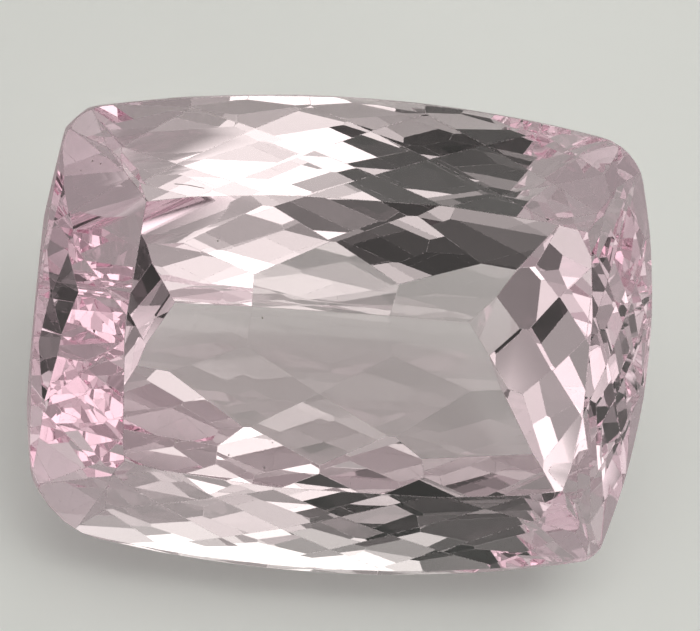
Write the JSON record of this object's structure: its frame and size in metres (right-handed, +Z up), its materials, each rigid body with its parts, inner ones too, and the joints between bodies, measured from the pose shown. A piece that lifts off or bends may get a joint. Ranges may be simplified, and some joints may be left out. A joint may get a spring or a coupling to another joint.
{
  "type": "cushion-cut kunzite gem",
  "caption": "Loose faceted gem of pale pink kunzite, cushion cut with a bowed outline, a keel underneath and a wide flat table, lying on one facet of its underside.",
  "frame": {"origin": "middle of the stone's box, on the surface that it lies on", "axes": "+X along the length of the stone, from the end with the two differently rounded corners on the left to the more bowed end on the right; +Z up; the table faces up and towards -Y, tilted 40 degrees"},
  "size_m": [0.02, 0.0124, 0.0114],
  "materials": {
    "kunzite": "polished clear crystal, pale pink, deeper pink towards the ends"
  },
  "bodies": {
    "root": {"cut_stone": "kunzite"}
  },
  "joints": []
}
